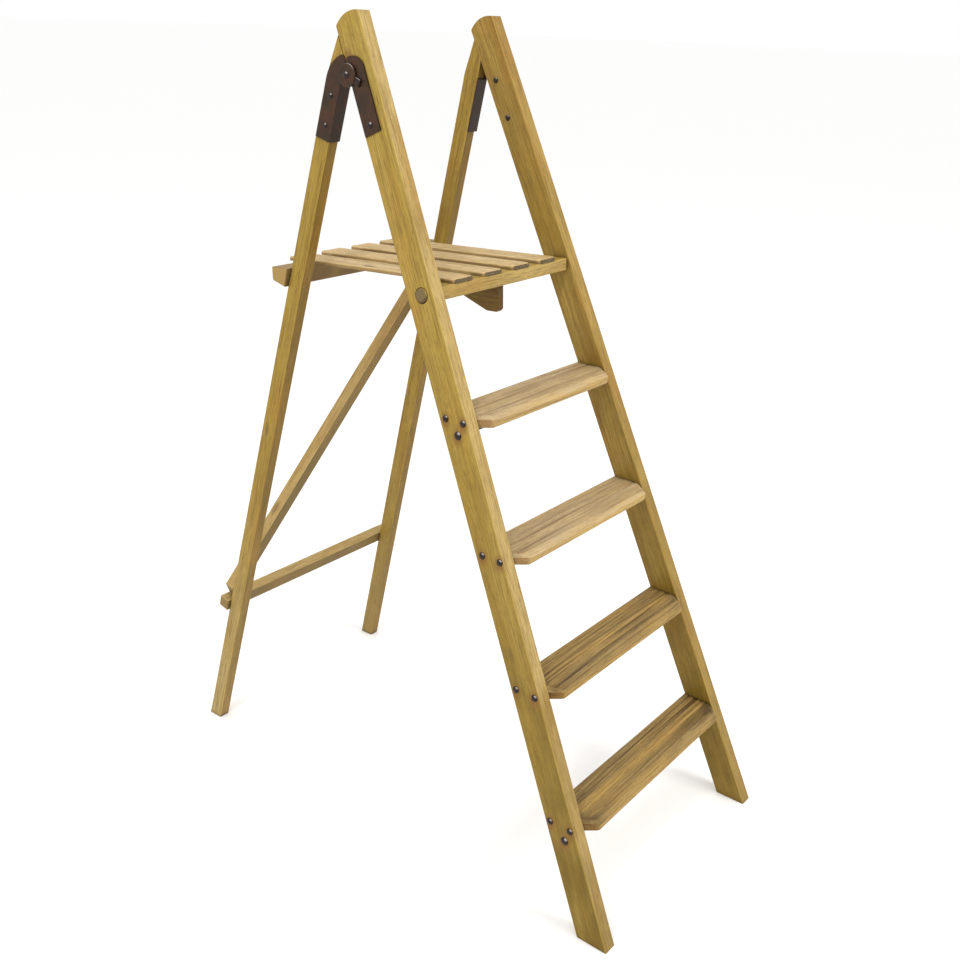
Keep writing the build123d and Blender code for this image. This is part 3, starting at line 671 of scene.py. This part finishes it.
def slat_row(number, middle, back, from_front, from_back):
    """Points round a slat at one distance back from the pivot."""
    low = RAIL_HALF_HEIGHT
    plan = 0.009 if back < 0 else 0.004
    from_end = min(from_front, from_back)
    half = SLAT_WIDTH / 2 - rounding(plan, from_end)
    drop_end = rounding(SLAT_LIP, from_end)
    top = []
    for k in range(SLAT_STEPS + 1):
        u = -cos(pi * k / SLAT_STEPS)
        x = half * u
        edge = half - abs(x)
        furrow = noise_at(x * 170, back * 3.2, number * 5.7)
        fine = noise_at(x * 460, back * 8.0, number * 2.3)
        wear = clamped(0.35 + 0.7 * furrow + 0.25 * fine)
        rub = ramp(edge, 0.006, 0.0) * 0.6 + ramp(from_front, 0.012, 0.0) * 0.4
        drop = max(rounding(SLAT_CORNER, edge), drop_end) + 0.0006 * wear + 0.0004 * (1 - u * u)
        drop = min(drop, SLAT_THICKNESS - 0.001)
        top.append((x, low + SLAT_THICKNESS - drop, wear * (1 - rub), 0.35 * rub))
    under = [(half * u, low, PLAIN_WEAR, 0.0) for u in (1.0, 0.5, 0.0, -0.5, -1.0)]
    return [(middle + x, *deck_yz(back, up), wear, gold) for x, up, wear, gold in top + under]


def worn_slat(number):
    """A slat with its top worn a little hollow and its corners and edges rubbed round."""
    middle = (number - 2.5) * SLAT_PITCH
    front = -RAIL_HALF_DEPTH
    near = [0.0, 0.0004, 0.0010, 0.0018, 0.0028, 0.0042, 0.0060, 0.0090, 0.0130]
    start = front + near[-1]
    end = SLAT_REACH - near[-1]
    stations = [front + d for d in near[:-1]]
    stations += [start + (end - start) * k / SLAT_PIECES for k in range(SLAT_PIECES + 1)]
    stations += [SLAT_REACH - d for d in reversed(near[:-1])]
    rows = [slat_row(number, middle, back, back - front, SLAT_REACH - back) for back in stations]
    lofted(f"slat_{number}", rows, slat_wood, "platform")


def domed_heads(name, radius, height):
    """Forged, slightly uneven domed heads, one over each fastener, with a stub behind each."""
    verts = []
    faces = []
    around = 28
    beside = Vector((0, 1, 0))
    for number, spot in enumerate(heads(name)):
        side = 1 if spot.x > 0 else -1
        out = Vector((side * cos(STILE_SPLAY), 0, sin(STILE_SPLAY)))
        up = out.cross(beside)
        base = spot - out * height
        first = len(verts)
        for share, lift in DOME:
            rise = lift if lift < 0 else lift * height
            for k in range(around):
                angle = 2 * pi * k / around
                dent = 1 + 0.05 * noise_at(cos(angle) * 1.5, sin(angle) * 1.5, number * 3.7 + side)
                reach = radius * share * dent
                round_it = beside * reach * cos(angle) + up * reach * sin(angle)
                verts.append(base + out * rise + round_it)
        for i in range(len(DOME) - 1):
            for k in range(around):
                n = (k + 1) % around
                a, b = first + i * around, first + (i + 1) * around
                faces.append((a + k, a + n, b + n, b + k))
        faces.append(tuple(first + (len(DOME) - 1) * around + k for k in range(around)))
        faces.append(tuple(reversed([first + k for k in range(around)])))
    points = [tuple(v) for v in verts]
    closed_piece(f"domed_{name}", name, points, faces, fixing_steel, 50,
                 "front_frame")


def rail_ring(x, half_depth, half_height, corner, jitter=0.0):
    """A rounded rectangle square to the rail; a circle where corner and halves are the same."""
    points = []
    round_end = half_depth == half_height
    for k in range(RAIL_STEPS):
        angle = 2 * pi * (k + 0.5) / RAIL_STEPS
        c, t = cos(angle), sin(angle)
        reach = min(half_depth / abs(c), half_height / abs(t))
        back, up = reach * c, reach * t
        over_back = abs(back) - (half_depth - corner)
        over_up = abs(up) - (half_height - corner)
        if over_back > 0 and over_up > 0:
            size = sqrt(over_back ** 2 + over_up ** 2)
            if size > corner:
                back = (1 if back > 0 else -1) * (half_depth - corner + over_back * corner / size)
                up = (1 if up > 0 else -1) * (half_height - corner + over_up * corner / size)
        rough = jitter * noise_at(x * 90, back * 260, up * 260)
        marked = PLAIN_WEAR
        # On a tenon the mark rises on the lower front of its end: a painted shade crescent
        if round_end:
            marked += 0.7 * ramp((-back - up) / TENON_RADIUS, 0.65, 1.2)
        points.append((x + rough, *deck_yz(back, up), marked, 0.0))
    return points


def worn_rail():
    """The pivot rail with its round tenons, their ends rough and their rims chipped."""
    radius = TENON_RADIUS
    rail_top = DECK_PIVOT[1] + RAIL_TOP_RISE
    shoulder = STILE_INNER_AT_FLOOR - rail_top * tan(STILE_SPLAY) - RAIL_SIDE_GAP
    start = shoulder - 0.0008
    half = [(TENON_END - short, radius * share, radius * share, radius * share, 0.0010 * share)
            for share, short in TENON_RINGS]
    half += [(TENON_END - 0.012, radius, radius, radius, 0.0),
             (shoulder, radius, radius, radius, 0.0),
             (shoulder, RAIL_HALF_DEPTH - 0.0008, RAIL_HALF_HEIGHT - 0.0008, 0.0015, 0.0),
             (start, RAIL_HALF_DEPTH, RAIL_HALF_HEIGHT, 0.0022, 0.0)]
    rows = [rail_ring(-x, d, h, r, -j) for x, d, h, r, j in half]
    for k in range(1, RAIL_PIECES):
        x = -start + 2 * start * k / RAIL_PIECES
        dent = 0.00025 * (1 + noise_at(x * 20, 2.0, 7.0))
        rows.append(rail_ring(x, RAIL_HALF_DEPTH - dent, RAIL_HALF_HEIGHT, 0.0026 + 2 * dent))
    rows += [rail_ring(x, d, h, r, j) for x, d, h, r, j in reversed(half)]
    lofted("platform_pivot_rail", rows, rail_wood, "platform")


for number in range(1, 5):
    worn_tread(number)
    worn_slat(number)
    domed_heads(f"tread_{number}_screws", HEAD_RADIUS, HEAD_HEIGHT)
worn_rail()


# ---------------------------------------------------------------- setting


def area_light(name, place, target, size, power, colour):
    data = bpy.data.lights.new(name, "AREA")
    data.energy = power
    data.size = size
    data.color = colour
    lamp = bpy.data.objects.new(name, data)
    lamp.location = place
    lamp.rotation_euler = (Vector(target) - Vector(place)).to_track_quat("-Z", "Y").to_euler()
    scene.collection.objects.link(lamp)


def floor():
    mesh = bpy.data.meshes.new("floor")
    half = 160.0
    corners = [(-half, -half, 0), (half, -half, 0), (half, half, 0), (-half, half, 0)]
    mesh.from_pydata(corners, [], [(0, 1, 2, 3)])
    plane = bpy.data.objects.new("floor", mesh)
    scene.collection.objects.link(plane)
    material = bpy.data.materials.new("floor")
    material.use_nodes = True
    shader = material.node_tree.nodes["Principled BSDF"]
    shader.inputs["Base Color"].default_value = rgb(0.985, 0.985, 0.98)
    shader.inputs["Roughness"].default_value = 0.9
    mesh.materials.append(material)


def camera():
    """The view: eye height, in front and well to the left, looking down a little."""
    azimuth = radians(52.37)
    tilt = radians(22.327)
    roll = radians(-2.2155)
    ahead = Vector((sin(azimuth) * cos(tilt), cos(azimuth) * cos(tilt), -sin(tilt)))
    right = Vector((cos(azimuth), -sin(azimuth), 0))
    down = ahead.cross(right)
    turned_right = cos(roll) * right + sin(roll) * down
    turned_down = -sin(roll) * right + cos(roll) * down
    turn = Matrix((turned_right, -turned_down, -ahead)).transposed()
    data = bpy.data.cameras.new("camera")
    data.sensor_width = 36.0
    data.lens = 41.58
    view = bpy.data.objects.new("camera", data)
    view.matrix_world = Matrix.Translation((-1.6141, -1.2568, 1.5)) @ turn.to_4x4()
    scene.collection.objects.link(view)
    scene.camera = view


floor()
camera()
world = bpy.data.worlds.new("studio")
world.use_nodes = True
world.node_tree.nodes["Background"].inputs[0].default_value = rgb(1.0, 1.0, 1.0)
world.node_tree.nodes["Background"].inputs[1].default_value = 1.0
scene.world = world
scene.view_settings.view_transform = "Standard"
area_light("key", (0.6, -3.6, 3.4), (0, 0, 0.8), 1.6, 75, (1.0, 0.98, 0.94))
area_light("fill", (-3.6, 0.2, 3.0), (0, 0, 0.8), 2.4, 24, (0.97, 0.99, 1.0))
area_light("glint", (-2.4, -0.6, 3.4), (0, 0, 0.9), 0.45, 22, (1.0, 1.0, 1.0))
